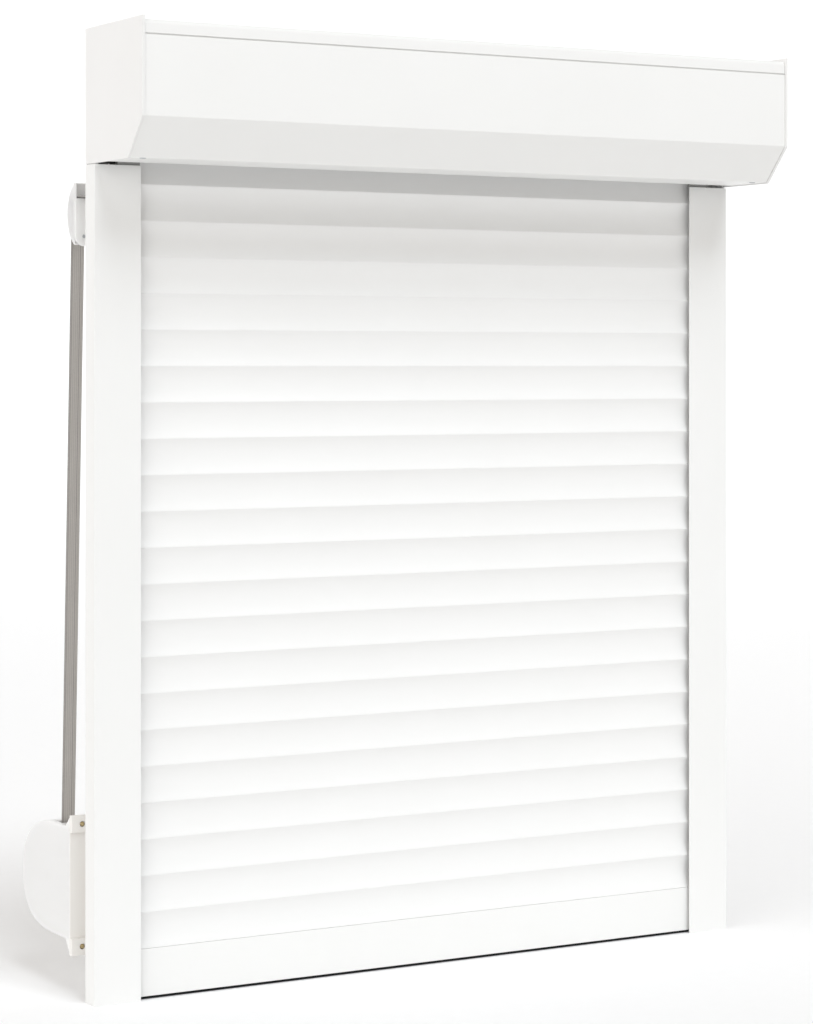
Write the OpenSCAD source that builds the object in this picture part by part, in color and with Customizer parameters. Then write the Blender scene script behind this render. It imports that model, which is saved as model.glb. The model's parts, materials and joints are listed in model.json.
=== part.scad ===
// Exterior roller shutter: a bevelled box with a winding shaft, two guide rails, a curtain of
// hooked slats and a strap drive with a guide and a spring winder on the room side.
// Frame: X to the right, Y towards the room, Z up. Y = 0 is the wall face that the rails and
// the box lie against, Z = 0 is the foot of the rails, X = 0 is the middle of the curtain.

/* [Overall] */
// Width over both end caps
overall_w = 785; // [600:5:1600]
// Height from the rail feet to the top of the end caps
overall_h = 985; // [700:5:1700]

/* [Box] */
// Depth of the end caps, from the wall to the front
box_d = 137; // [132:1:180]
// Height of the end caps
box_h = 137; // [134:1:180]
// Height of the bevel along the lower front edge
bevel_h = 39; // [20:1:45]
// Depth of the bevel along the lower front edge
bevel_d = 34.5; // [15:0.5:40]
// Thickness of an end cap's plate
cap_t = 3; // [2:0.5:5]
// Sheet thickness of the panels
panel_t = 1.2; // [0.8:0.1:2]
// How far the end caps stand out past the front cover
cap_proud = 1; // [0.5:0.5:2]
// How far the end caps stand above the top panel
top_proud = 3.5; // [1:0.5:5]
// Height of the top panel's front lip, above the cover
top_lip_h = 13.5; // [10:0.5:20]
// Open seam between the top panel's lip and the cover
seam_gap = 1.4; // [0.6:0.1:2]
// Bend radius of the top panel's edges
top_bend_r = 5; // [3:0.5:8]
// Height of the cover's flange behind the top panel's lip
hook_flange_h = 8; // [4:0.5:10]
// Distance from the wall to the rear edge of the cover's floor
curtain_slot_d = 36; // [34:0.5:44]
// Height of the stiffening lip at the rear edge of the cover's floor
floor_lip_h = 6; // [3:0.5:10]
// Width of the end caps' collars that carry the panels
collar_w = 10; // [6:1:20]
// Thickness of the end caps' collars
collar_t = 2; // [1.5:0.5:3]

/* [Rails] */
// Width of a rail's front face
rail_w = 51; // [48:0.5:70]
// Depth of a rail, from the wall to its front face
rail_d = 23; // [22:0.5:32]
// Wall thickness of the rails
rail_wall = 1.5; // [1.2:0.1:2]
// Depth of the slat channel, from the rail's mouth to its web
channel_depth = 25.5; // [20:0.5:27]
// Open gap between the rail's top end and the box
rail_top_gap = 1; // [0.5:0.5:4]
// Depth that the end cap's tongue reaches into the rail
tongue_h = 40; // [20:1:80]
// Distance from the rail feet to the lowest fixing hole
fixing_low_z = 250; // [200:5:300]
// Distance from the rail feet to the highest fixing hole
fixing_high_z = 730; // [400:5:1200]
// Radius of the fixing holes in the rails' rear walls
fixing_r = 2.25; // [1.5:0.25:3]

/* [Curtain] */
// Height of one slat from joint to joint
slat_pitch = 37; // [34:0.5:45]
// Thickness of a slat
slat_t = 8; // [7.5:0.1:9.5]
// Depth of the hollow in a slat's front face
slat_bow = 4; // [1.5:0.1:4.2]
// Sheet thickness of a slat
slat_wall = 0.8; // [0.6:0.05:1]
// Distance from the rail's front face back to the slats' front edges
curtain_setback = 6; // [5:0.1:6.5]
// Open gap between two slats at their joint
joint_gap = 0.5; // [0.35:0.05:0.9]
// Free play between the slat's end and the rail's web
slat_end_play = 5; // [2:0.5:10]
// Least height of the curtain above the box's underside when it is down
curtain_reserve = 15; // [5:1:40]
// Height of the bottom bar
bar_h = 48.8; // [40:0.2:70]
// Thickness of the bottom bar
bar_t = 8.8; // [8.2:0.1:10]
// Wall thickness of the bottom bar
bar_wall = 1.4; // [1:0.1:1.6]
// Visible height of the rubber seal under the bottom bar
seal_h = 2.4; // [2:0.2:8]
// Height of the seal's lower edge above the rail feet
sill_gap = 0.5; // [0:0.5:5]

/* [Winding shaft] */
// Distance from the wall to the shaft's axis
shaft_out = 66; // [62:0.5:72]
// Height of the shaft's axis above the box's underside
shaft_up = 69; // [67:0.5:75]
// Width of the octagonal tube across its flats
tube_af = 40; // [36:1:44]
// Wall thickness of the tube
tube_wall = 1; // [0.8:0.1:1.5]
// Radius of the steel pins that the shaft turns on
pin_r = 6; // [4:0.5:7]
// Outer radius of the bearings
bearing_r = 14; // [11:0.5:16]
// Width of the bearings
bearing_w = 8; // [6:0.5:9]
// Radius of the strap pulley's winding face
pulley_hub_r = 42; // [36:0.5:43]
// Height of the pulley's flanges above its winding face
pulley_flange_h = 8; // [6:0.5:9]
// Thickness of the strap wound on the pulley with the curtain down
pulley_coil_t = 4.8; // [3:0.1:5.5]
// Width of a spring strip that hangs the curtain on the tube
hanger_w = 28; // [15:1:40]
// Thickness of a spring strip
hanger_t = 0.8; // [0.5:0.1:1.2]
// Number of spring strips
hanger_count = 3; // [2:1:5]

/* [Strap] */
// Width of the strap
strap_w = 14.6; // [12:0.2:16]
// Thickness of the strap
strap_t = 1.2; // [0.8:0.1:1.4]
// Distance from the end cap's outer face to the strap's middle
strap_in = 15.5; // [14:0.5:15.5]
// Distance from the shutter's wall face to the room face that carries guide and winder
wall_t = 38; // [34:1:80]

/* [Strap guide] */
// Width of the strap guide
guide_w = 20; // [20:0.5:26]
// Thickness of the guide's plate
guide_plate_t = 3; // [2:0.5:4]
// Distance from the box's underside down to the guide roller's axis
guide_drop = 37; // [30:0.5:60]
// Radius of the guide's roller
guide_roller_r = 5.5; // [4:0.25:5.75]
// Radius of the guide roller's pin
guide_pin_r = 2.5; // [1.5:0.25:3]
// How far the guide's cover stands out from the room face
guide_depth = 21.5; // [21:0.5:28]
// Radius of the cover's bowed outline
guide_bow_r = 37; // [36:0.5:42]
// Wall thickness of the guide's cover
guide_wall = 1.2; // [1:0.1:2]

/* [Strap winder] */
// Width of the winder
winder_w = 28; // [26:0.5:36]
// Height of the winder's mounting plate
winder_plate_h = 143.5; // [138:0.5:170]
// Thickness of the mounting plate at its two ears
winder_plate_t = 6; // [4:0.5:8]
// How much lower the mounting plate sits than the housing
winder_plate_drop = 1.5; // [0:0.1:3]
// Distance between the winder's two screws
winder_screw_pitch = 125.5; // [124:0.5:150]
// Height of the housing's middle above the rail feet
winder_z = 113; // [100:1:400]
// Height of the winder's housing
winder_body_h = 116; // [110:1:130]
// How far the winder's housing stands out from the room face
winder_depth = 131; // [124:1:150]
// Length of the housing's flat top, from the room face
winder_flat = 45; // [40:1:60]
// Wall thickness of the winder's housing
winder_wall = 2; // [1.5:0.1:2.5]
// Distance from the room face to the drum's axis
drum_out = 64.5; // [60:0.5:75]
// Radius of the drum's winding face
drum_hub_r = 16; // [14:0.5:20]
// Radius of the drum's flanges
drum_flange_r = 44; // [34:1:50]
// Thickness of the strap wound on the drum with the curtain down
drum_coil_t = 3.6; // [2.4:0.1:6]
// Radius of the winder's axle
axle_r = 3; // [2:0.25:4]
// Number of turns in the winder's spring
spring_turns = 5; // [3:1:6]

/* [Hidden] */
$fn = 64;
// Clearance of a turning fit, on the radius
turning_fit = 0.05;
// Clearance of a part that is pushed into its seat
seat_fit = 0.1;
// Gap between parts that move past each other
moving_gap = 0.3;
// Overlap that lets a cut pass cleanly through a face
cut_extra = 1;

// Box levels and planes
half_w = overall_w / 2;
box_z = overall_h - box_h;
inner_half = half_w - cap_t;
cover_y = -box_d + cap_proud;
cover_z = box_z + cap_proud;
top_z = overall_h - top_proud;
seam_z = top_z - top_lip_h;
shaft_y = -shaft_out;
shaft_z = box_z + shaft_up;

// Rail levels and planes
rail_top_z = box_z - rail_top_gap;
mouth_x = half_w - rail_w;
web_x = mouth_x + channel_depth;
chamber_out_x = half_w - rail_wall;
chamber_in_x = web_x + rail_wall;
chamber_mid_x = (chamber_out_x + chamber_in_x) / 2;

// Curtain levels and planes
cusp_y = -rail_d + curtain_setback;
slat_half = web_x - slat_end_play;
bar_bottom_z = sill_gap + seal_h;
bar_top_z = bar_bottom_z + bar_h;
slat_count = ceil((box_z + curtain_reserve - bar_top_z) / slat_pitch);
curtain_top_z = bar_top_z + slat_count * slat_pitch;
bow_r = (pow(slat_pitch / 2, 2) + pow(slat_bow, 2)) / (2 * slat_bow);
bow_y = cusp_y + slat_bow - bow_r;

// Hook on each slat's top edge, and the slot that takes it
hook_setback = 5;
hook_y = cusp_y + hook_setback;
hook_t = 0.9;
hook_reach = 2.4;
hook_rise = 2.9;
slot_before = 1;
slot_behind = 1.9;
end_wall = 1;

// Strap positions
strap_x = -half_w + strap_in;
pulley_coil_r = pulley_hub_r + pulley_coil_t;
pulley_flange_r = pulley_hub_r + pulley_flange_h;
pulley_side_play = 1;
pulley_flange_t = 2;
pulley_rim_t = 4;
pulley_in_x = strap_x + strap_w / 2 + pulley_side_play + pulley_flange_t;
pulley_out_x = strap_x - strap_w / 2 - pulley_side_play - pulley_flange_t;
outlet_r = 3;
outlet_lift = 0.5;
outlet_y = -2;
outlet_z = cover_z + outlet_r + outlet_lift;
outlet_half_w = strap_w / 2 + 2.7;
outlet_cheek_t = 2;
outlet_h = 13;
guide_roller_gap = 0.5;
guide_y = wall_t + guide_plate_t + guide_roller_gap + guide_roller_r;
guide_z = box_z - guide_drop;
drum_y = wall_t + drum_out;
drum_coil_r = drum_hub_r + drum_coil_t;

SLATS = [for (i = [1:slat_count]) str("slat_", i < 10 ? "0" : "", i)];

// Paths in the Y and Z plane

function unit(v) = v / norm(v);
function left_of(v) = [-v[1], v[0]];
function polar(r, a) = [r * cos(a), r * sin(a)];
function arc(centre, r, from, to, steps) =
    [for (i = [0:steps]) centre + polar(r, from + (to - from) * i / steps)];

// Offset direction at one point of a path, with mitred corners
function mitre(path, i) =
    let (last = len(path) - 1,
         before = i > 0 ? unit(path[i] - path[i - 1]) : unit(path[1] - path[0]),
         after = i < last ? unit(path[i + 1] - path[i]) : unit(path[last] - path[last - 1]),
         middle = unit(left_of(before) + left_of(after)))
    middle / (middle * left_of(before));

// Outline of a strip that lies between two offsets to the left of a path
function strip(path, near, far) =
    concat([for (i = [0:len(path) - 1]) path[i] + near * mitre(path, i)],
           [for (i = [len(path) - 1:-1:0]) path[i] + far * mitre(path, i)]);

// Direction of the straight run from one wheel to the next. Side is 1 for a wheel on the
// left of the run and -1 for a wheel on its right.
function run_angle(a, ra, side_a, b, rb, side_b) =
    let (d = b - a, k = side_b * rb - side_a * ra)
    atan2(d[1], d[0]) - atan2(k, sqrt(d * d - k * k));
function run_point(centre, r, side, angle) = centre - side * r * left_of(polar(1, angle));

// Solids along X and Y

module along_x(from, to) {
    translate([from, 0, 0]) rotate([90, 0, 90]) linear_extrude(to - from) children();
}
module along_y(from, to) {
    translate([0, from, 0]) rotate([-90, 0, 0]) linear_extrude(to - from) mirror([0, 1]) children();
}
module rod_x(from, to, r, y, z) {
    translate([from, y, z]) rotate([0, 90, 0]) cylinder(h = to - from, r = r);
}
module ring_x(from, to, inner_r, outer_r, y, z) {
    difference() {
        rod_x(from, to, outer_r, y, z);
        rod_x(from - cut_extra, to + cut_extra, inner_r, y, z);
    }
}
module rod_y(from, to, r, x, z) {
    translate([x, from, z]) rotate([-90, 0, 0]) cylinder(h = to - from, r = r);
}
module block(low, high) {
    translate(low) cube(high - low);
}
module octagon(across_flats) {
    rotate(22.5) circle(r = across_flats / 2 / cos(22.5), $fn = 8);
}

// Box

cap_outline = [[0, box_z], [-box_d + bevel_d, box_z], [-box_d, box_z + bevel_h],
               [-box_d, overall_h], [0, overall_h]];
bend_steps = 6;
top_path = concat([[0, box_z]],
                  arc([-top_bend_r, top_z - top_bend_r], top_bend_r, 0, 90, bend_steps),
                  arc([cover_y + top_bend_r, top_z - top_bend_r], top_bend_r, 90, 180, bend_steps),
                  [[cover_y, seam_z]]);

// The cover keeps the end caps' bevel, set back square to the bevel by the same amount
bevel_length = norm([bevel_d, bevel_h]);
bevel_shift = cap_proud * (bevel_length - bevel_d) / bevel_h;
floor_shift = cap_proud * (bevel_length - bevel_h) / bevel_d;
cover_top_z = seam_z - seam_gap;
flange_y = cover_y + panel_t + moving_gap;
cover_path = [[flange_y, cover_top_z + hook_flange_h],
              [flange_y, cover_top_z],
              [cover_y, cover_top_z],
              [cover_y, box_z + bevel_h + bevel_shift],
              [-box_d + bevel_d + floor_shift, cover_z],
              [-curtain_slot_d, cover_z],
              [-curtain_slot_d, cover_z + floor_lip_h]];
// The collars stop clear of the strap outlet, the cover's flange and the curtain's slot
collar_rear_z = box_z + 36;
collar_front_z = cover_top_z - 8;
collar_floor_y = -curtain_slot_d - 20;
collar_top_path = concat([[0, collar_rear_z]], [for (i = [1:len(top_path) - 2]) top_path[i]]);
collar_front_path = [[cover_y, collar_front_z],
                     [cover_y, box_z + bevel_h + bevel_shift],
                     [-box_d + bevel_d + floor_shift, cover_z],
                     [collar_floor_y, cover_z]];

// Screws through the cover's floor into the end caps
cover_screw_in = 19;
cover_screw_back = 5.5;
cover_screw_r = 1.8;
cover_screw_head_r = 3.4;
cover_screw_head_h = 0.8;
cover_screw_length = 12;
cover_screw_y = -box_d + bevel_d + cover_screw_back;
cover_screw_x = half_w - cover_screw_in;
boss_half = 4.4;
boss_h = 15;
boss_floor_z = cover_z + panel_t + seat_fit;
bearing_x = inner_half - bearing_w - cap_t;
bearing_seat_t = 5;
tongue_fit = 0.3;
tongue_link_t = 2;
tongue_link_h = 4;
tongue_front_y = -rail_d + rail_wall + tongue_fit;
tongue_rear_y = -rail_wall - tongue_fit;

module end_cap() {
    difference() {
        union() {
            along_x(-half_w, -inner_half) polygon(cap_outline);
            // Collars inside the panels
            along_x(-inner_half - cut_extra, -inner_half + collar_w) {
                polygon(strip(collar_top_path, panel_t + seat_fit, panel_t + seat_fit + collar_t));
                polygon(strip(collar_front_path, panel_t + seat_fit, panel_t + seat_fit + collar_t));
            }
            // Bearing seat
            rod_x(-inner_half - cut_extra, -bearing_x + moving_gap, bearing_r + bearing_seat_t,
                  shaft_y, shaft_z);
            // Boss for the cover's screw
            block([-inner_half - cut_extra, cover_screw_y - boss_half, boss_floor_z],
                  [-cover_screw_x + boss_half, cover_screw_y + boss_half, boss_floor_z + boss_h]);
            // Tongue that plugs into the rail, and the link that carries it
            block([-chamber_out_x + tongue_fit, tongue_front_y, rail_top_z - tongue_h],
                  [-chamber_in_x - tongue_fit, tongue_rear_y, rail_top_z]);
            block([-chamber_out_x + tongue_fit, tongue_front_y, rail_top_z - tongue_link_h],
                  [-inner_half + tongue_link_t, tongue_rear_y, box_z + tongue_link_h]);
        }
        rod_x(-inner_half, half_w, bearing_r + seat_fit / 4, shaft_y, shaft_z);
        translate([-cover_screw_x, cover_screw_y, box_z])
            cylinder(h = cover_screw_length + cut_extra, r = cover_screw_r);
    }
}
module left_end_cap() { color("white") end_cap(); }
module right_end_cap() { color("white") mirror([1, 0, 0]) end_cap(); }

module top_panel() {
    color("whitesmoke") difference() {
        along_x(-inner_half, inner_half) polygon(strip(top_path, 0, panel_t));
        block([strap_x - outlet_half_w, -panel_t - cut_extra, box_z - cut_extra],
              [strap_x + outlet_half_w, cut_extra, cover_z + outlet_h]);
    }
}

module front_cover() {
    color("whitesmoke") difference() {
        along_x(-inner_half, inner_half) polygon(strip(cover_path, 0, panel_t));
        for (side = [-1, 1])
            translate([side * cover_screw_x, cover_screw_y, box_z])
                cylinder(h = 2 * cut_extra + panel_t, r = cover_screw_r + seat_fit);
    }
}

module cover_screws() {
    color("silver") for (side = [-1, 1])
        translate([side * cover_screw_x, cover_screw_y, cover_z - cover_screw_head_h]) {
            cylinder(h = cover_screw_head_h, r = cover_screw_head_r);
            cylinder(h = cover_screw_length, r = cover_screw_r - seat_fit / 4);
        }
}

// Winding shaft

bearing_end = bearing_x + bearing_w;
tube_left_x = pulley_in_x + moving_gap;
tube_right_gap = 16;
tube_right_x = bearing_x - tube_right_gap;
plug_length = 36;
plug_rim_t = 2;
pin_length = 52;
pin_end_x = bearing_end - moving_gap;
pulley_web_t = 4;

module bearing() {
    ring_x(-bearing_end, -bearing_x, pin_r + turning_fit, bearing_r, shaft_y, shaft_z);
}
module left_bearing() { color("gray") bearing(); }
module right_bearing() { color("gray") mirror([1, 0, 0]) bearing(); }

module winding_tube() {
    color("lightgray") translate([0, shaft_y, shaft_z]) along_x(tube_left_x, tube_right_x)
        difference() {
            octagon(tube_af);
            octagon(tube_af - 2 * tube_wall);
        }
}

module tube_plug(mouth, inward) {
    plug_af = tube_af - 2 * tube_wall - 2 * seat_fit;
    difference() {
        translate([0, shaft_y, shaft_z])
            along_x(min(mouth, mouth + inward * plug_length), max(mouth, mouth + inward * plug_length))
                octagon(plug_af);
        rod_x(-half_w, half_w, pin_r + seat_fit / 4, shaft_y, shaft_z);
    }
}
module left_tube_plug() { color("dimgray") tube_plug(tube_left_x, 1); }
module right_tube_plug() {
    color("dimgray") {
        tube_plug(tube_right_x, -1);
        ring_x(tube_right_x, tube_right_x + plug_rim_t, pin_r + seat_fit / 4,
               tube_af / 2, shaft_y, shaft_z);
    }
}

module axle_pin() {
    rod_x(-pin_end_x, -pin_end_x + pin_length, pin_r, shaft_y, shaft_z);
}
module left_axle_pin() { color("silver") axle_pin(); }
module right_axle_pin() { color("silver") mirror([1, 0, 0]) axle_pin(); }

module strap_pulley() {
    color("dimgray") {
        ring_x(pulley_out_x, pulley_out_x + pulley_flange_t, pulley_hub_r - pulley_rim_t,
               pulley_flange_r, shaft_y, shaft_z);
        ring_x(pulley_out_x, pulley_in_x, pulley_hub_r - pulley_rim_t, pulley_hub_r, shaft_y, shaft_z);
        ring_x(pulley_in_x - pulley_flange_t, pulley_in_x, pulley_hub_r - pulley_rim_t,
               pulley_flange_r, shaft_y, shaft_z);
        ring_x(pulley_in_x - pulley_web_t, pulley_in_x, pin_r + seat_fit / 4, pulley_hub_r,
               shaft_y, shaft_z);
    }
}

module pulley_coil() {
    color("darkgray") ring_x(strap_x - strap_w / 2, strap_x + strap_w / 2,
                             pulley_hub_r + seat_fit / 4, pulley_coil_r, shaft_y, shaft_z);
}

// The strips lie on the tube's rear flat and bend down to the top slat's hook
hanger_margin = 120;
hanger_lie = 8;
hanger_bend = 14;
hanger_end_z = curtain_top_z + hook_rise + joint_gap;
hanger_top = [shaft_y + tube_af / 2 + hanger_t / 2, shaft_z + hanger_lie];
hanger_foot = [hook_y + hook_t / 2, hanger_end_z];
hanger_path = [hanger_top, hanger_top - [0, 2 * hanger_lie],
               hanger_top + [hanger_bend / 2, -2 * hanger_lie - hanger_bend],
               hanger_foot + [-hanger_bend / 2, hanger_bend / 2], hanger_foot];

module hangers() {
    reach = slat_half - hanger_margin;
    color("silver") for (i = [0:hanger_count - 1]) {
        middle = -reach + 2 * reach * i / (hanger_count - 1);
        along_x(middle - hanger_w / 2, middle + hanger_w / 2)
            polygon(strip(hanger_path, -hanger_t / 2, hanger_t / 2));
    }
}

// Rails

lip_seal_w = 6;
lip_seal_in = 4;
lip_seal_gap = 0.6;
slat_rear_y = bow_y + bow_r + slat_t;

module rail() {
    difference() {
        block([-half_w, -rail_d, 0], [-mouth_x, 0, rail_top_z]);
        block([-chamber_out_x, -rail_d + rail_wall, -cut_extra],
              [-chamber_in_x, -rail_wall, overall_h]);
        block([-web_x, -rail_d + rail_wall, -cut_extra], [-mouth_x + cut_extra, -rail_wall, overall_h]);
        for (z = [fixing_low_z, (fixing_low_z + fixing_high_z) / 2, fixing_high_z])
            rod_y(-rail_wall - cut_extra, cut_extra, fixing_r, -chamber_mid_x, z);
    }
}
module left_rail() { color("white") rail(); }
module right_rail() { color("white") mirror([1, 0, 0]) rail(); }

module rail_seals() {
    block([-mouth_x - lip_seal_in - lip_seal_w, -rail_d + rail_wall, 0],
          [-mouth_x - lip_seal_in, cusp_y - lip_seal_gap, rail_top_z]);
    block([-mouth_x - lip_seal_in - lip_seal_w, slat_rear_y + lip_seal_gap, 0],
          [-mouth_x - lip_seal_in, -rail_wall, rail_top_z]);
}
module left_rail_seals() { color("dimgray") rail_seals(); }
module right_rail_seals() { color("dimgray") mirror([1, 0, 0]) rail_seals(); }

inlet_base_h = 2;
inlet_h = 22;
inlet_flare = 10;
inlet_wall = 1.2;
inlet_side_gap = 0.5;

module inlet_guide() {
    front = -rail_d + rail_wall;
    wing_z = rail_top_z + inlet_base_h;
    color("dimgray") along_x(-web_x + inlet_side_gap, -mouth_x - inlet_side_gap) {
        polygon([[front, rail_top_z], [cusp_y - lip_seal_gap, rail_top_z],
                 [cusp_y - lip_seal_gap, wing_z],
                 [front - inlet_flare + inlet_wall, wing_z + inlet_h],
                 [front - inlet_flare, wing_z + inlet_h], [front, wing_z]]);
        polygon([[slat_rear_y + lip_seal_gap, rail_top_z], [-rail_wall, rail_top_z],
                 [-panel_t - moving_gap, wing_z + inlet_h],
                 [-panel_t - moving_gap - inlet_wall, wing_z + inlet_h],
                 [slat_rear_y + lip_seal_gap, wing_z]]);
    }
}
module left_inlet_guide() { inlet_guide(); }
module right_inlet_guide() { mirror([1, 0, 0]) inlet_guide(); }

// Curtain

module hook_section(edge_z) {
    translate([hook_y, edge_z - end_wall / 2]) square([hook_t, hook_rise + end_wall / 2]);
    translate([hook_y - hook_reach, edge_z + hook_rise - hook_t]) square([hook_reach + hook_t, hook_t]);
}

module bowed_band(front_inset, rear_inset, low, high) {
    intersection() {
        translate([bow_y, slat_pitch / 2]) difference() {
            circle(r = bow_r + slat_t - rear_inset, $fn = 180);
            circle(r = bow_r + front_inset, $fn = 180);
        }
        translate([bow_y, low]) square([2 * bow_r, high - low]);
    }
}

module slat_section() {
    low = joint_gap / 2;
    high = slat_pitch - joint_gap / 2;
    difference() {
        bowed_band(0, 0, low, high);
        bowed_band(slat_wall, slat_wall, low + end_wall, high - end_wall);
        translate([hook_y - slot_before, 0])
            square([slot_before + hook_t + slot_behind, low + 2 * end_wall]);
    }
    hook_section(high);
}

module slat(i) {
    color("white") translate([0, 0, bar_top_z + (i - 1) * slat_pitch])
        along_x(-slat_half, slat_half) slat_section();
}

seal_head_half = 2.3;
seal_neck_half = 1.2;
seal_head_h = 2;
seal_fit = 0.2;
seal_inset = 0.6;
bar_rib_h = 8;
bar_mid_y = cusp_y + bar_t / 2;

module bottom_bar() {
    high = bar_top_z - joint_gap / 2;
    color("white") along_x(-slat_half, slat_half) {
        difference() {
            translate([cusp_y, bar_bottom_z]) square([bar_t, high - bar_bottom_z]);
            translate([cusp_y + bar_wall, bar_bottom_z + bar_rib_h])
                square([bar_t - 2 * bar_wall, high - bar_bottom_z - bar_rib_h - bar_wall]);
            translate([bar_mid_y - seal_head_half - seal_fit, bar_bottom_z + bar_wall])
                square([2 * seal_head_half + 2 * seal_fit, seal_head_h + 2 * seal_fit]);
            translate([bar_mid_y - seal_neck_half - seal_fit, bar_bottom_z - cut_extra])
                square([2 * seal_neck_half + 2 * seal_fit, bar_wall + 2 * cut_extra]);
        }
        hook_section(high);
    }
}

module bottom_seal() {
    head_z = bar_bottom_z + bar_wall + seal_fit;
    color("black") along_x(-slat_half, slat_half) {
        translate([cusp_y + seal_inset, sill_gap]) square([bar_t - 2 * seal_inset, seal_h]);
        translate([bar_mid_y - seal_neck_half, sill_gap])
            square([2 * seal_neck_half, head_z + seal_head_h - sill_gap]);
        translate([bar_mid_y - seal_head_half, head_z]) square([2 * seal_head_half, seal_head_h]);
    }
}

// Strap

outlet_run_r = outlet_r + seat_fit + strap_t / 2;
guide_run_r = guide_roller_r + moving_gap + strap_t / 2;
pulley_run_r = pulley_coil_r + moving_gap + strap_t / 2;
drum_run_r = drum_coil_r + moving_gap + strap_t / 2;
shaft_at = [shaft_y, shaft_z];
outlet_at = [outlet_y, outlet_z];
guide_at = [guide_y, guide_z];
drum_at = [drum_y, winder_z];

// The strap drops straight down behind the rail, and runs level through the wall to the guide
strap_level_z = guide_z + guide_run_r;
foot_y = outlet_y + 2 * outlet_run_r;
foot_z = strap_level_z + outlet_run_r;
foot_at = [foot_y, foot_z];
first_run = run_angle(shaft_at, pulley_run_r, 1, outlet_at, outlet_run_r, -1);
drop_run = run_angle(outlet_at, outlet_run_r, -1, foot_at, outlet_run_r, 1);
level_run = run_angle(foot_at, outlet_run_r, 1, guide_at, guide_run_r, -1);
last_run = run_angle(guide_at, guide_run_r, -1, drum_at, drum_run_r, 1);
wrap_steps = 8;
strap_path = concat([run_point(shaft_at, pulley_run_r, 1, first_run)],
                    arc(outlet_at, outlet_run_r, first_run + 90, drop_run + 90, wrap_steps),
                    arc(foot_at, outlet_run_r, drop_run - 90, level_run - 90, wrap_steps),
                    arc(guide_at, guide_run_r, level_run + 90, last_run + 90, wrap_steps),
                    [run_point(drum_at, drum_run_r, 1, last_run)]);

// Where the strap's last run passes a given height
function strap_y_at(z) = drum_y + drum_run_r / sin(last_run) + (z - winder_z) / tan(last_run);

module strap() {
    color("darkgray") along_x(strap_x - strap_w / 2, strap_x + strap_w / 2)
        polygon(strip(strap_path, -strap_t / 2, strap_t / 2));
}

module strap_outlet() {
    left = strap_x - outlet_half_w + seat_fit;
    right = strap_x + outlet_half_w - seat_fit;
    top = cover_z + outlet_h - seat_fit;
    back = foot_y + outlet_r;
    front = outlet_y - outlet_r;
    color("dimgray") {
        rod_x(left, right, outlet_r, outlet_y, outlet_z);
        rod_x(left, right, outlet_r, foot_y, foot_z);
        for (x = [left, right - outlet_cheek_t]) {
            block([x, front, outlet_z - outlet_r], [x + outlet_cheek_t, back, top]);
            block([x, moving_gap, foot_z - outlet_r], [x + outlet_cheek_t, back, top]);
        }
        block([left, front, top - outlet_cheek_t], [right, back, top]);
    }
}

// Strap guide

guide_left = strap_x - guide_w / 2;
guide_right = strap_x + guide_w / 2;
guide_face_y = wall_t + guide_plate_t;
guide_bow_y = wall_t + guide_depth - guide_bow_r;
guide_bow_drop = 11;
guide_bow_z = guide_z - guide_bow_drop;
guide_ear_drop = 34;
guide_ear_z = guide_z - guide_ear_drop;
guide_slot_below = 1.4;
guide_slot_above = 14.6;
guide_slot_play = 1;
guide_top_z = strap_level_z + guide_slot_above;
guide_pin_seat = guide_wall / 2;
guide_screw_r = 1.8;
guide_screw_head_r = 3.6;
guide_screw_head_h = 2;
guide_exit_half = 2.2;
guide_exit_drop = 15;
guide_exit_rise = 5;

module guide_plate() {
    color("white") difference() {
        along_y(wall_t, guide_face_y) {
            translate([guide_left, guide_ear_z]) square([guide_w, guide_top_z - guide_ear_z]);
            translate([strap_x, guide_ear_z]) circle(r = guide_w / 2);
        }
        block([strap_x - strap_w / 2 - guide_slot_play, wall_t - cut_extra,
               strap_level_z - guide_slot_below],
              [strap_x + strap_w / 2 + guide_slot_play, guide_face_y + cut_extra,
               guide_top_z + cut_extra]);
        rod_y(wall_t - cut_extra, guide_face_y + cut_extra, guide_screw_r + seat_fit, strap_x, guide_ear_z);
    }
}

module guide_bow(inset, back_y) {
    intersection() {
        translate([guide_bow_y, guide_bow_z]) circle(r = guide_bow_r - inset, $fn = 128);
        translate([back_y, guide_bow_z - guide_bow_r]) square(2 * guide_bow_r);
    }
}

module guide_cover() {
    inner_left = guide_left + guide_wall;
    inner_right = guide_right - guide_wall;
    exit_z = guide_bow_z - guide_exit_drop;
    exit_y = strap_y_at(exit_z);
    color("white") difference() {
        along_x(guide_left, guide_right) guide_bow(0, guide_face_y);
        along_x(inner_left, inner_right) guide_bow(guide_wall, guide_face_y - cut_extra);
        rod_x(inner_left - guide_pin_seat, inner_right + guide_pin_seat, guide_pin_r + seat_fit / 4,
              guide_y, guide_z);
        block([inner_left, exit_y - guide_exit_half, guide_bow_z - guide_bow_r],
              [inner_right, exit_y + guide_exit_half, exit_z + guide_exit_rise]);
        rod_y(wall_t, wall_t + guide_depth, guide_screw_head_r + moving_gap, strap_x, guide_ear_z);
    }
}

module guide_roller() {
    color("gainsboro") ring_x(guide_left + guide_wall + guide_slot_play,
                              guide_right - guide_wall - guide_slot_play,
                              guide_pin_r + turning_fit, guide_roller_r, guide_y, guide_z);
}

module guide_pin() {
    color("silver") rod_x(guide_left + guide_wall - guide_pin_seat, guide_right - guide_wall + guide_pin_seat,
                          guide_pin_r, guide_y, guide_z);
}

module guide_screw() {
    color("silver") {
        rod_y(wall_t + moving_gap, guide_face_y + cut_extra, guide_screw_r, strap_x, guide_ear_z);
        rod_y(guide_face_y, guide_face_y + guide_screw_head_h, guide_screw_head_r, strap_x, guide_ear_z);
    }
}

// Strap winder

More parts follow.
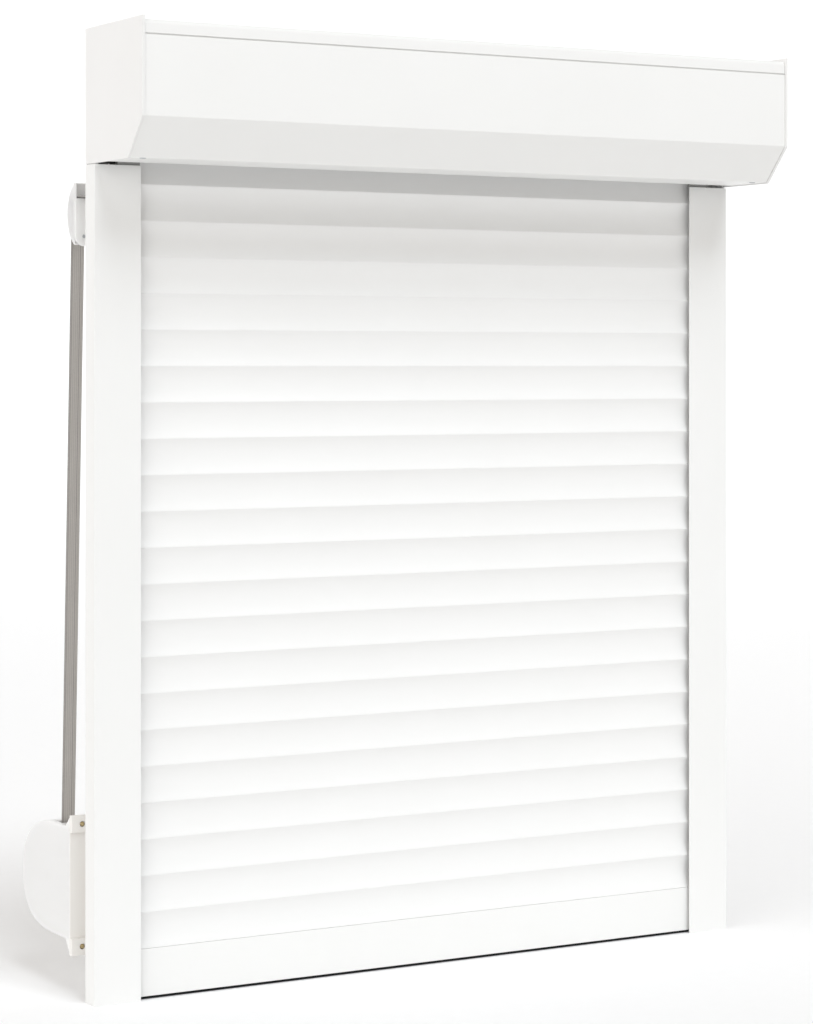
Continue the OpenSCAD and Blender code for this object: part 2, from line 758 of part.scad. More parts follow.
winder_left = strap_x - winder_w / 2;
winder_right = strap_x + winder_w / 2;
winder_in_left = winder_left + winder_wall;
winder_in_right = winder_right - winder_wall;
winder_face_y = wall_t + winder_plate_t;
winder_plate_z = winder_z - winder_plate_drop;
winder_low_z = winder_plate_z - winder_plate_h / 2;
winder_high_z = winder_plate_z + winder_plate_h / 2;
winder_body_half = winder_body_h / 2;
winder_web_t = 1.5;
winder_ear_h = 17.5;
winder_screw_shift = 2;
winder_screw_x = strap_x - winder_screw_shift;
winder_screw_r = 2.4;
winder_screw_play = 0.5;
winder_screw_head_r = 3.6;
winder_screw_head_h = 2;
winder_gusset_d = 12;
winder_gusset_inset = 0.6;
winder_slot_front = 5;
winder_slot_rear = 12;
winder_slot_play = 1.5;
curve_steps = 20;
curve_power_top = 2 / 2.3;
curve_power_bottom = 2 / 2.65;
drum_side_play = 0.7;
drum_flange_t = 1.2;
drum_rim_t = 2.5;
drum_left = strap_x - strap_w / 2 - drum_side_play - drum_flange_t;
drum_right = strap_x + strap_w / 2 + drum_side_play + drum_flange_t;
axle_seat = winder_wall / 2;
spring_t = 0.4;
spring_w = 10;
spring_in_r = axle_r + 1;
spring_out_r = drum_hub_r - drum_rim_t - 2 * spring_t;

// Side outline: flat top and bottom next to the plate, a full curve on the room side
function winder_curve(inset) =
    let (deep = winder_depth - winder_flat - inset, half = winder_body_half - inset)
    [for (i = [-curve_steps:curve_steps])
        let (a = 90 * i / curve_steps, power = a > 0 ? curve_power_top : curve_power_bottom)
        [wall_t + winder_flat + deep * pow(cos(a), power),
         winder_z + sign(a) * half * pow(abs(sin(a)), power)]];
// Gussets next to the plate carry its ears
gusset_low_z = winder_low_z + winder_gusset_inset;
gusset_high_z = winder_high_z - winder_gusset_inset;
gusset_y = winder_face_y + winder_gusset_d;
winder_outer = concat([[winder_face_y, gusset_low_z], [gusset_y, winder_z - winder_body_half]],
                      winder_curve(0),
                      [[gusset_y, winder_z + winder_body_half], [winder_face_y, gusset_high_z]]);
winder_inner_half = winder_body_half - winder_wall;
winder_inner = concat([[winder_face_y - cut_extra, winder_z - winder_inner_half]],
                      winder_curve(winder_wall),
                      [[winder_face_y - cut_extra, winder_z + winder_inner_half]]);

module winder_plate() {
    color("white") difference() {
        block([winder_left, wall_t, winder_low_z], [winder_right, winder_face_y, winder_high_z]);
        block([winder_left - cut_extra, wall_t - cut_extra, winder_low_z + winder_ear_h],
              [winder_right + cut_extra, winder_face_y - winder_web_t, winder_high_z - winder_ear_h]);
        for (side = [-1, 1])
            rod_y(wall_t - cut_extra, winder_face_y + cut_extra, winder_screw_r + winder_screw_play,
                  winder_screw_x, winder_plate_z + side * winder_screw_pitch / 2);
    }
}

module winder_housing() {
    slot_y = strap_y_at(winder_z + winder_body_half);
    color("white") difference() {
        along_x(winder_left, winder_right) polygon(winder_outer);
        along_x(winder_in_left, winder_in_right) polygon(winder_inner);
        block([strap_x - strap_w / 2 - winder_slot_play, slot_y - winder_slot_front, winder_z],
              [strap_x + strap_w / 2 + winder_slot_play, slot_y + winder_slot_rear, winder_high_z]);
        for (side = [-1, 1])
            rod_y(wall_t, wall_t + winder_flat, winder_screw_head_r + moving_gap, winder_screw_x,
                  winder_plate_z + side * winder_screw_pitch / 2);
        rod_x(winder_in_left - axle_seat, winder_in_right + axle_seat, axle_r + seat_fit / 4,
              drum_y, winder_z);
    }
}

module winder_drum() {
    color("gainsboro") {
        ring_x(drum_left, drum_right, drum_hub_r - drum_rim_t, drum_hub_r, drum_y, winder_z);
        ring_x(drum_left, drum_left + drum_flange_t, drum_hub_r - drum_rim_t, drum_flange_r,
               drum_y, winder_z);
        ring_x(drum_right - drum_flange_t, drum_right, axle_r + turning_fit, drum_flange_r,
               drum_y, winder_z);
    }
}

module winder_coil() {
    color("darkgray") ring_x(strap_x - strap_w / 2, strap_x + strap_w / 2, drum_hub_r + seat_fit / 4,
                             drum_coil_r, drum_y, winder_z);
}

module winder_spring() {
    step = 15;
    climb = (spring_out_r - spring_in_r) / (360 * spring_turns);
    path = [for (a = [0:step:360 * spring_turns]) drum_at + polar(spring_in_r + climb * a, a)];
    color("slategray") along_x(drum_right - drum_flange_t - spring_w, drum_right - drum_flange_t)
        polygon(strip(path, -spring_t / 2, spring_t / 2));
}

module winder_axle() {
    color("silver") rod_x(winder_in_left - axle_seat, winder_in_right + axle_seat, axle_r, drum_y, winder_z);
}

module winder_screws() {
    color("goldenrod") for (side = [-1, 1]) {
        z = winder_plate_z + side * winder_screw_pitch / 2;
        rod_y(wall_t + moving_gap, winder_face_y + cut_extra, winder_screw_r, winder_screw_x, z);
        rod_y(winder_face_y, winder_face_y + winder_screw_head_h, winder_screw_head_r, winder_screw_x, z);
    }
}

left_end_cap();
right_end_cap();
top_panel();
front_cover();
cover_screws();
left_bearing();
right_bearing();
winding_tube();
left_tube_plug();
right_tube_plug();
left_axle_pin();
right_axle_pin();
strap_pulley();
pulley_coil();
hangers();
left_rail();
right_rail();
left_rail_seals();
right_rail_seals();
left_inlet_guide();
right_inlet_guide();
bottom_bar();
bottom_seal();
strap_outlet();
strap();
guide_plate();
guide_cover();
guide_roller();
guide_pin();
guide_screw();
winder_plate();
winder_housing();
winder_drum();
winder_coil();
winder_spring();
winder_axle();
winder_screws();
for (i = [1:slat_count])
    slat(i);
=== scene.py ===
# Exterior roller shutter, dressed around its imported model: two rails, a box with a winding shaft,
# a curtain of hooked slats and a strap drive, under plain studio light.
import json
import math

import bmesh
import bpy
from mathutils import Matrix, Vector

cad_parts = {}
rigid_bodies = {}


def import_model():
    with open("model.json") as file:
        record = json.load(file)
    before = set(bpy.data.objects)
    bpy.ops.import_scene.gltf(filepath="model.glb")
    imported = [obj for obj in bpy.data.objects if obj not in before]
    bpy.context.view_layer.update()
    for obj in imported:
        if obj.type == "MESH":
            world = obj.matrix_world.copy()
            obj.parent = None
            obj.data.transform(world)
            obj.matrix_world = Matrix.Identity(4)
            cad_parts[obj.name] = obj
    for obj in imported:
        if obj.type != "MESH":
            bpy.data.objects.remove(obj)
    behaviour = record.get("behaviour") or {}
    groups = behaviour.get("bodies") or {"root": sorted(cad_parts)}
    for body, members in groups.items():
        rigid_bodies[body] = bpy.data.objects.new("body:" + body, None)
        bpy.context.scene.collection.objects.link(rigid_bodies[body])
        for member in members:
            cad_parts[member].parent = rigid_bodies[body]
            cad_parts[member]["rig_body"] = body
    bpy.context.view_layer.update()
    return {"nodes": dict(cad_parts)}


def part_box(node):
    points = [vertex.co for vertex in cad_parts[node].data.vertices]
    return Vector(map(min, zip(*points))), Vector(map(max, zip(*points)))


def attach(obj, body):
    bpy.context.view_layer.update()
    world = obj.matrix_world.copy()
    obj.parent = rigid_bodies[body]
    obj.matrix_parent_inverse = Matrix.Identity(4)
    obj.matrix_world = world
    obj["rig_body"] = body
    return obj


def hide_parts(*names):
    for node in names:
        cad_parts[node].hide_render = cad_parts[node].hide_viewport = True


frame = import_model()


# Guide rails: two aluminium extrusions, sawn square and coated white, with a slat channel that is
# open to the curtain and a closed chamber behind it. Screws hold their rear walls to the wall.
# The die leaves a small radius on every edge and faint lines along the length.

MM = 0.001
SHARP_ANGLE = math.radians(38)
EASED_ANGLE = math.radians(32)
FLAT_ANGLE = math.radians(0.6)
CORNER_ANGLE = math.radians(40)
CORNER_STEPS = 5
MERGE_DISTANCE = 0.001 * MM
RAIL_EDGE_R = 0.5 * MM
nodes = frame["nodes"]


class Wire:
    """A shader socket. Sums and products of wires add Math nodes to their material."""

    def __init__(self, socket):
        self.socket = socket

    def node(self, kind, settings, inputs, output=0):
        """Another node in the same material: its settings are set first, then its sockets."""
        tree = self.socket.id_data
        made = tree.nodes.new(kind)
        for name, value in settings.items():
            setattr(made, name, value)
        for name, value in inputs.items():
            if isinstance(value, Wire):
                tree.links.new(value.socket, made.inputs[name])
            else:
                made.inputs[name].default_value = value
        return Wire(made.outputs[output])

    def maths(self, operation, *values):
        return self.node("ShaderNodeMath", {"operation": operation}, dict(enumerate(values)))

    def __add__(self, other):
        return self.maths("ADD", self, other)

    __radd__ = __add__

    def __sub__(self, other):
        return self.maths("SUBTRACT", self, other)

    def __rsub__(self, other):
        return self.maths("SUBTRACT", other, self)

    def __mul__(self, other):
        return self.maths("MULTIPLY", self, other)

    __rmul__ = __mul__


def stretched(place, x, y, z):
    """The place on the piece, scaled along each axis."""
    return place.node("ShaderNodeVectorMath", {"operation": "MULTIPLY"}, {0: place, 1: (x, y, z)})


def noise(place, scale, detail=2.0):
    """Soft spots between 0 and 1, about scale of them to the metre."""
    return place.node("ShaderNodeTexNoise", {}, {"Vector": place, "Scale": scale, "Detail": detail})


def shade(factor, dark, light):
    """A colour between two colours."""
    return factor.node("ShaderNodeMix", {"data_type": "RGBA"},
                       {0: factor, 6: (*dark, 1), 7: (*light, 1)}, output=2)


def relief(height, depth):
    """A surface normal from a height between 0 and 1, over a real depth in metres."""
    return height.node("ShaderNodeBump", {}, {"Height": height, "Distance": depth, "Strength": 1.0})


def finish(name, constants, detail):
    """A material. The detail function gives the wires of the sockets that change over the surface."""
    made = bpy.data.materials.new(name)
    made.use_nodes = True
    tree = made.node_tree
    shader = tree.nodes["Principled BSDF"]
    for socket, value in constants.items():
        shader.inputs[socket].default_value = value
    place = Wire(tree.nodes.new("ShaderNodeTexCoord").outputs["Object"])
    for socket, wire in detail(place).items():
        tree.links.new(wire.socket, shader.inputs[socket])
    return made


def enamel(name, dark, light, lengthwise):
    """Stove enamel: a fine orange peel, soft clouds in its tone and faint lines along the profile."""
    squeeze = [1 if axis == lengthwise else 40 for axis in "xyz"]

    def detail(place):
        peel = noise(place, 900, 3)
        cloud = noise(place, 7, 4)
        lines = noise(stretched(place, *squeeze), 45, 2)
        return {"Base Color": shade(cloud * 0.7 + lines * 0.3, dark, light),
                "Roughness": 0.30 + 0.10 * cloud + 0.06 * lines,
                "Normal": relief(peel * 0.75 + lines * 0.25, 0.03 * MM)}

    return finish(name, {"Specular IOR Level": 0.42}, detail)


def smoothed(mesh):
    """Smooth shading, with the sharper edges left sharp."""
    mesh.polygons.foreach_set("use_smooth", [True] * len(mesh.polygons))
    mesh.set_sharp_from_angle(angle=SHARP_ANGLE)
    mesh.update()


def eased(piece, radius, segments=2):
    """A small radius along the piece's edges."""
    bevel = piece.modifiers.new("edges", "BEVEL")
    bevel.width = radius
    bevel.segments = segments
    bevel.limit_method = "ANGLE"
    bevel.angle_limit = EASED_ANGLE
    bevel.harden_normals = True
    return piece


def stands_for(piece, material, *replaced):
    """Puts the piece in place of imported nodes, on their body and with their finish."""
    piece.data.materials.append(material)
    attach(piece, nodes[replaced[0]]["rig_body"])
    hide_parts(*replaced)
    return piece


def new_piece(name, bm):
    """A piece from a finished bmesh."""
    mesh = bpy.data.meshes.new(name)
    bmesh.ops.recalc_face_normals(bm, faces=bm.faces)
    bm.to_mesh(mesh)
    bm.free()
    smoothed(mesh)
    piece = bpy.data.objects.new(name, mesh)
    bpy.context.scene.collection.objects.link(piece)
    return piece


def clean_copy(name, node, rounded_where=None, radius=0.0):
    """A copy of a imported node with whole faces, and a larger radius on the edges that are asked for."""
    bm = bmesh.new()
    bm.from_mesh(nodes[node].data)
    bmesh.ops.remove_doubles(bm, verts=bm.verts, dist=MERGE_DISTANCE)
    bmesh.ops.dissolve_limit(bm, angle_limit=FLAT_ANGLE, verts=bm.verts, edges=bm.edges)
    if rounded_where:
        chosen = [edge for edge in bm.edges
                  if edge.is_manifold and edge.calc_face_angle() > CORNER_ANGLE
                  and all(rounded_where(vert.co) for vert in edge.verts)]
        bmesh.ops.bevel(bm, geom=chosen, offset=radius, offset_type="OFFSET", segments=CORNER_STEPS,
                        profile=0.5, affect="EDGES", clamp_overlap=True)
    return new_piece(name, bm)


rail_enamel = enamel("rail_enamel", (0.865, 0.865, 0.850), (0.905, 0.905, 0.895), "z")
for side in ("left", "right"):
    rail = clean_copy(side + "_rail_extrusion", side + "_rail")
    stands_for(eased(rail, RAIL_EDGE_R), rail_enamel, side + "_rail")


# Lip seals: black rubber strips pressed into the grooves of the rails' mouths, one in front of the
# curtain and one behind it, so that the slats run between them without rattling.

LIP_EDGE_R = 0.8 * MM


def rubber_detail(place):
    grain = noise(place, 1600, 3)
    bloom = noise(place, 30, 3)
    return {"Base Color": shade(bloom, (0.005, 0.005, 0.006), (0.014, 0.014, 0.015)),
            "Roughness": 0.60 + 0.18 * bloom,
            "Normal": relief(grain, 0.04 * MM)}


rubber = finish("black_rubber", {"Specular IOR Level": 0.18}, rubber_detail)
for side in ("left", "right"):
    seals = clean_copy(side + "_lip_seals", side + "_rail_seals")
    stands_for(eased(seals, LIP_EDGE_R, segments=3), rubber, side + "_rail_seals")


# Inlet guides: grey moulded funnels pushed into the rails' top ends, inside the box. They lead the
# curtain from the roll down into the rails.

LIGHT_DEPTH = 4 * MM


def moulding(name, dark, light, roughness=0.30, milky=0.0):
    """Moulded plastic: an even satin skin from the mould, with soft flow clouds in its tone.
    A milky plastic lets some light through its thin walls."""

    def detail(place):
        skin = noise(place, 1500, 2)
        flow = noise(place, 14, 3)
        return {"Base Color": shade(flow, dark, light),
                "Roughness": roughness + 0.14 * flow,
                "Normal": relief(skin, 0.02 * MM)}

    constants = {"Specular IOR Level": 0.45, "Subsurface Weight": milky,
                 "Subsurface Radius": (1, 1, 1), "Subsurface Scale": LIGHT_DEPTH}
    return finish(name, constants, detail)


def coated(material, *names):
    """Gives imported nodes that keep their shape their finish."""
    for name in names:
        nodes[name].data.materials.clear()
        nodes[name].data.materials.append(material)


grey_moulding = moulding("grey_moulding", (0.30, 0.30, 0.29), (0.36, 0.36, 0.35), roughness=0.42)
coated(grey_moulding, "left_inlet_guide", "right_inlet_guide")


# End caps: aluminium castings, coated white, that close the box and carry everything in it. Their
# tongues plug into the rails' chambers. A casting's skin is coarser than the sheet's enamel.

CAP_EDGE_R = 0.6 * MM


def casting_detail(place):
    skin = noise(place, 620, 4)
    cloud = noise(place, 9, 4)
    return {"Base Color": shade(cloud, (0.845, 0.840, 0.830), (0.885, 0.880, 0.870)),
            "Roughness": 0.36 + 0.14 * cloud,
            "Normal": relief(skin, 0.06 * MM)}


casting_coat = finish("casting_coat", {"Specular IOR Level": 0.42}, casting_detail)
for side in ("left", "right"):
    end_cap = clean_copy(side + "_end_cap_casting", side + "_end_cap")
    stands_for(eased(end_cap, CAP_EDGE_R, segments=3), casting_coat, side + "_end_cap")


# Top panel: one folded aluminium sheet, coated before folding, that makes the box's rear wall, its
# top and a short front lip. It slides over the end caps' collars, and a notch in its rear wall
# takes the strap outlet.

SHEET_T = 1.2 * MM
CAP_GAP = 0.5 * MM
TOP_BEND_R = 5 * MM
TOP_BEND_STEPS = 10
TOP_EDGE_R = 0.25 * MM
LIP_H = 13.5 * MM
NOTCH_PLAY = 0.1 * MM


def rounded(corners, steps=6):
    """An outline from (y, z, radius) corners, with an arc in place of each rounded corner."""
    outline = []
    for i, (y, z, radius) in enumerate(corners):
        here = Vector((y, z))
        if radius == 0:
            outline.append(here)
            continue
        back = (Vector(corners[i - 1][:2]) - here).normalized()
        on = (Vector(corners[(i + 1) % len(corners)][:2]) - here).normalized()
        half = back.angle(on) / 2
        centre = here + (back + on).normalized() * (radius / math.sin(half))
        start = here + back * (radius / math.tan(half)) - centre
        end = here + on * (radius / math.tan(half)) - centre
        outline += [centre + radius * start.slerp(end, k / steps) for k in range(steps + 1)]
    return outline


def sideways(path, i):
    """The direction to the left of a path at one of its points, longer where the path turns."""
    before = (path[i] - path[i - 1]).normalized() if i > 0 else None
    after = (path[i + 1] - path[i]).normalized() if i + 1 < len(path) else before
    before = before or after
    middle = Vector((-before.y - after.y, before.x + after.x)).normalized()
    return middle / middle.dot(Vector((-before.y, before.x)))


def folded_sheet(name, path, stations, missing):
    """A sheet folded along a path in the Y and Z plane, its thickness to the left of the path.
    Stations are the places along X where a cut-out may begin. Missing names the cut-out cells."""
    bm = bmesh.new()
    faces = [[[bm.verts.new((x, *(point + sideways(path, i) * depth))) for i, point in enumerate(path)]
              for x in stations] for depth in (0, SHEET_T)]
    cells = [(a, i) for a in range(len(stations) - 1) for i in range(len(path) - 1)
             if not missing((stations[a] + stations[a + 1]) / 2, (path[i] + path[i + 1]) / 2)]
    rims = {}
    for a, i in cells:
        ring = [(a, i), (a, i + 1), (a + 1, i + 1), (a + 1, i)]
        for layer in faces:
            bm.faces.new([layer[b][j] for b, j in ring])
        for k in range(4):
            edge = frozenset((ring[k], ring[k - 1]))
            rims[edge] = rims.get(edge, 0) + 1
    for edge, count in rims.items():
        if count == 1:
            (a, i), (b, j) = edge
            bm.faces.new([faces[0][a][i], faces[0][b][j], faces[1][b][j], faces[1][a][i]])
    bmesh.ops.delete(bm, geom=[vert for vert in bm.verts if not vert.link_faces], context="VERTS")
    return new_piece(name, bm)


panel_enamel = enamel("panel_enamel", (0.870, 0.870, 0.855), (0.910, 0.910, 0.898), "x")
low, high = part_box("top_panel")
outlet_low, outlet_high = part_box("strap_outlet")
notch_left = outlet_low.x - NOTCH_PLAY
notch_right = outlet_high.x + NOTCH_PLAY
notch_top = outlet_high.z + NOTCH_PLAY
top_path = rounded([(high.y, low.z, 0), (high.y, notch_top, 0), (high.y, high.z, TOP_BEND_R),
                    (low.y, high.z, TOP_BEND_R), (low.y, high.z - LIP_H, 0)], TOP_BEND_STEPS)
top_panel = folded_sheet(
    "top_panel_sheet", top_path, [low.x + CAP_GAP, notch_left, notch_right, high.x - CAP_GAP],
    lambda x, point: notch_left < x < notch_right and point.y < notch_top)
stands_for(eased(top_panel, TOP_EDGE_R), panel_enamel, "top_panel")


# Front cover: the removable folded sheet with the box's front, bevel and floor. A flange hooks it
# behind the top panel's lip, and a lip stiffens its rear edge next to the curtain.

CAP_PROUD = 1 * MM
BEVEL_H = 39 * MM
BEVEL_D = 34.5 * MM
FLANGE_H = 8 * MM
FLANGE_GAP = 0.3 * MM
FLOOR_LIP_H = 6 * MM
COVER_BEND_R = 1.6 * MM
TIGHT_BEND_R = 0.25 * MM
COVER_EDGE_R = 0.2 * MM
SCREW_HOLE_HALF = 1.9 * MM
low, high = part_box("front_cover")
bevel_length = math.hypot(BEVEL_H, BEVEL_D)
bevel_top = low.z - CAP_PROUD + BEVEL_H + CAP_PROUD * (bevel_length - BEVEL_D) / BEVEL_H
bevel_foot = low.y - CAP_PROUD + BEVEL_D + CAP_PROUD * (bevel_length - BEVEL_H) / BEVEL_D
flange_y = low.y + SHEET_T + FLANGE_GAP
cover_top = high.z - FLANGE_H
screws_low, screws_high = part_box("cover_screws")
screw_y = (screws_low.y + screws_high.y) / 2
screw_head_r = (screws_high.y - screws_low.y) / 2
screw_xs = [screws_low.x + screw_head_r, screws_high.x - screw_head_r]
cover_path = rounded([(flange_y, high.z, 0), (flange_y, cover_top, TIGHT_BEND_R),
                      (low.y, cover_top, TIGHT_BEND_R), (low.y, bevel_top, COVER_BEND_R),
                      (bevel_foot, low.z, COVER_BEND_R), (screw_y - SCREW_HOLE_HALF, low.z, 0),
                      (screw_y + SCREW_HOLE_HALF, low.z, 0), (high.y, low.z, COVER_BEND_R),
                      (high.y, low.z + FLOOR_LIP_H, 0)])
hole_edges = [x + step for x in screw_xs for step in (-SCREW_HOLE_HALF, SCREW_HOLE_HALF)]
front_cover = folded_sheet(
    "front_cover_sheet", cover_path, [low.x + CAP_GAP, *hole_edges, high.x - CAP_GAP],
    lambda x, point: abs(point.x - screw_y) < SCREW_HOLE_HALF
    and any(abs(x - screw_x) < SCREW_HOLE_HALF for screw_x in screw_xs))
stands_for(eased(front_cover, COVER_EDGE_R), panel_enamel, "front_cover")


# Cover screws: two galvanised pan-head screws with a cross recess, driven up through the cover's
# floor into bosses of the end caps.

SCREW_HEAD_H = 0.8 * MM
COVER_SCREW_R = 1.75 * MM
HEAD_EDGE_SHARE = 0.35
POINT_SHARE = 0.7
RECESS_REACH_SHARE = 0.55
RECESS_HALF_SHARE = 0.13
HEAD_ROUND = [math.radians(step) for step in range(15, 90, 15)]


def zinc_detail(place):
    """Spangle: crystals of differing tone, as hot zinc leaves them."""
    cells = place.node("ShaderNodeTexVoronoi", {"feature": "F1"}, {"Vector": place, "Scale": 190.0}, 1)
    tone = cells.node("ShaderNodeSeparateColor", {}, {"Color": cells})
    cloud = noise(place, 60, 3)
    return {"Base Color": shade(tone * 0.7 + cloud * 0.3, (0.36, 0.37, 0.39), (0.62, 0.64, 0.66)),
            "Roughness": 0.34 + 0.16 * tone,
            "Normal": relief(noise(place, 700, 3), 0.02 * MM)}


def lathed(bm, profile, seat, out, segments=40):
    """Turns (radius, height) points round the axis that leaves the seat in the direction out."""
    turn = Vector((0, 0, 1)).rotation_difference(out).to_matrix()
    rings = []
    for radius, height in profile:
        count = segments if radius > 0 else 1
        angles = [math.tau * k / count for k in range(count)]
        ring = [Vector((radius * math.cos(a), radius * math.sin(a), height)) for a in angles]
        rings.append([bm.verts.new(seat + turn @ point) for point in ring])
    for a, b in zip(rings, rings[1:]):
        for k in range(segments):
            corners = [a[k % len(a)], a[(k + 1) % len(a)], b[(k + 1) % len(b)], b[k % len(b)]]
            bm.faces.new(list(dict.fromkeys(corners)))


def cut_away(piece, cutter):
    """Takes one solid out of another and removes the cutter."""
    cut = piece.modifiers.new("cut", "BOOLEAN")
    cut.object = cutter
    cut.solver = "EXACT"
    shape = bpy.data.meshes.new_from_object(piece.evaluated_get(bpy.context.evaluated_depsgraph_get()))
    piece.modifiers.remove(cut)
    piece.data = shape
    bpy.data.objects.remove(cutter)
    smoothed(shape)


def cross_screws(name, seats, out, head_r, head_h, shank_r, shank_length):
    """Pan-head screws on their seats, with a cross recess in each head."""
    edge = HEAD_EDGE_SHARE * head_h
    point_r = POINT_SHARE * shank_r
    profile = [(0, -shank_length), (point_r, -shank_length), (shank_r, shank_r - point_r - shank_length),
               (shank_r, 0), (head_r, 0), (head_r, edge)]
    profile += [(head_r * math.cos(a), edge + (head_h - edge) * math.sin(a)) for a in HEAD_ROUND]
    profile.append((0, head_h))
    arm = RECESS_REACH_SHARE * head_r
    arm_half = RECESS_HALF_SHARE * head_r
    bm = bmesh.new()
    for seat in seats:
        lathed(bm, profile, seat, out)
    screws = new_piece(name, bm)
    turn = Vector((0, 0, 1)).rotation_difference(out).to_matrix().to_4x4()
    for seat in seats:
        for half_x, half_y in ((arm, arm_half), (arm_half, arm)):
            bm = bmesh.new()
            shape = Matrix.Diagonal((2 * half_x, 2 * half_y, head_h, 1))
            bmesh.ops.create_cube(bm, size=1, matrix=Matrix.Translation(seat + out * head_h) @ turn @ shape)
            cut_away(screws, new_piece("recess", bm))
    return screws


zinc = finish("zinc", {"Metallic": 1.0}, zinc_detail)
seat_z = screws_low.z + SCREW_HEAD_H
cover_seats = [Vector((x, screw_y, seat_z)) for x in screw_xs]
cover_screws = cross_screws("cover_pan_screws", cover_seats, Vector((0, 0, -1)), screw_head_r,
                            SCREW_HEAD_H, COVER_SCREW_R, screws_high.z - seat_z)
stands_for(cover_screws, zinc, "cover_screws")


# Bearings and axle pins: ground steel rings pressed into the end caps, and the steel pins that turn
# in them. Grinding leaves fine marks round each piece.

def ground_detail(place):
    marks = noise(stretched(place, 60, 1, 1), 120, 2)
    cloud = noise(place, 40, 3)
    return {"Base Color": shade(cloud, (0.42, 0.43, 0.45), (0.58, 0.59, 0.61)),
            "Roughness": 0.20 + 0.14 * marks,
            "Normal": relief(marks, 0.008 * MM)}


ground_steel = finish("ground_steel", {"Metallic": 1.0}, ground_detail)
coated(ground_steel, "left_bearing", "right_bearing", "left_axle_pin", "right_axle_pin")


# Winding shaft: a galvanised octagonal tube with moulded plugs in its ends, the strap pulley beside
# it on the left pin, and spring strips that hold the curtain's top slat.

coated(zinc, "winding_tube", "hangers")
dark_moulding = moulding("dark_moulding", (0.020, 0.020, 0.022), (0.034, 0.034, 0.036), roughness=0.42)
coated(dark_moulding, "left_tube_plug", "right_tube_plug", "strap_pulley")


# Slats: roll-formed aluminium, coil coated, with a hollow front face. A hook along each top edge
# hangs in the slot along the next slat's lower edge, so that the curtain can bend at every joint.

PITCH = 37 * MM
BOW = 4 * MM
SLAT_T = 8 * MM
SLAT_WALL = 0.8 * MM
JOINT_GAP = 0.5 * MM
CLOSED_GAP = 0.06 * MM
END_WALL = 1 * MM
HOOK_SETBACK = 5 * MM
HOOK_T = 0.9 * MM
HOOK_REACH = 2.4 * MM
HOOK_RISE = 2.9 * MM
HOOK_INNER_R = 0.2 * MM
HOOK_TIP_R = 0.3 * MM
HOOK_HEEL_R = 0.6 * MM
SLOT_BEFORE = 1 * MM
SLOT_BEHIND = 1.9 * MM
CUSP_R = 0.15 * MM
REAR_EDGE_R = 0.8 * MM
BOW_STEPS = 22
SLAT_CORNER_STEPS = 4
BOW_R = ((PITCH / 2) ** 2 + BOW ** 2) / (2 * BOW)


def extruded(name, outline, left, right, holes=()):
    """A profile in the Y and Z plane, pulled along X, with closed ends."""
    bm = bmesh.new()
    ends = [[[bm.verts.new((x, *point)) for point in loop] for loop in (outline, *holes)]
            for x in (left, right)]
    for near, far in zip(*ends):
        for k in range(len(near)):
            bm.faces.new([near[k - 1], near[k], far[k], far[k - 1]])
    for loops in ends:
        rims = [bm.edges.get((loop[k - 1], loop[k])) for loop in loops for k in range(len(loop))]
        bmesh.ops.triangle_fill(bm, use_beauty=True, edges=rims)
    return new_piece(name, bm)


def hook(y, z):
    """The corners of the hook that stands on a top edge, from front to rear."""
    top = z + HOOK_RISE
    tip = y - HOOK_REACH
    rear = y + HOOK_T
    return [(y, z, 0), (y, top - HOOK_T, 0), (tip, top - HOOK_T, HOOK_INNER_R), (tip, top, HOOK_TIP_R),
            (rear, top, HOOK_HEEL_R), (rear, z, 0)]


def slat_outline(low):
    """A slat's section: the hollow front, the hook, the bowed rear, then the slot and the inside."""
    foot = low.z - JOINT_GAP / 2
    middle = foot + PITCH / 2
    bottom = foot + CLOSED_GAP / 2
    top = foot + PITCH - CLOSED_GAP / 2
    bow_y = low.y - math.sqrt(BOW_R ** 2 - (PITCH / 2 - JOINT_GAP / 2) ** 2)
    hook_y = bow_y + math.sqrt(BOW_R ** 2 - (PITCH / 2) ** 2) + HOOK_SETBACK
    slot_front = hook_y - SLOT_BEFORE
    slot_rear = hook_y + HOOK_T + SLOT_BEHIND

    def bowed(radius, start, end, edge_r):
        """Points of a bowed face between two heights, its first and last corner rounded."""
        heights = [start + (end - start) * k / BOW_STEPS for k in range(BOW_STEPS + 1)]
        return [(bow_y + math.sqrt(radius ** 2 - (z - middle) ** 2), z, edge_r if z in (start, end) else 0)
                for z in heights]

    return rounded([(slot_front, bottom, 0),
                    *bowed(BOW_R, bottom, top, CUSP_R),
                    *hook(hook_y, top),
                    *bowed(BOW_R + SLAT_T, top, bottom, REAR_EDGE_R),
                    (slot_rear, bottom, 0), (slot_rear, bottom + END_WALL, 0),
                    *bowed(BOW_R + SLAT_T - SLAT_WALL, bottom + END_WALL, top - END_WALL, 0),
                    *bowed(BOW_R + SLAT_WALL, top - END_WALL, bottom + END_WALL, 0),
                    (slot_front, bottom + END_WALL, 0)], SLAT_CORNER_STEPS)


def coil_coat_detail(place):
    peel = noise(place, 1300, 2)
    cloud = noise(place, 8, 4)
    lines = noise(stretched(place, 1, 40, 40), 40, 2)
    return {"Base Color": shade(cloud * 0.65 + lines * 0.35, (0.880, 0.880, 0.868), (0.920, 0.920, 0.912)),
            "Roughness": 0.26 + 0.10 * cloud + 0.05 * lines,
            "Normal": relief(peel * 0.6 + lines * 0.4, 0.02 * MM)}


coil_coat = finish("coil_coat", {"Specular IOR Level": 0.45}, coil_coat_detail)
for name in sorted(n for n in nodes if n.startswith("slat_")):
    low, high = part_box(name)
    slat = extruded(name + "_profile", slat_outline(low), low.x, high.x)
    stands_for(slat, coil_coat, name)


# Bottom bar: a hollow aluminium extrusion, coated white, that hangs on the lowest slat's slot by the
# same hook and weighs the curtain down. A groove along its foot holds the rubber seal.

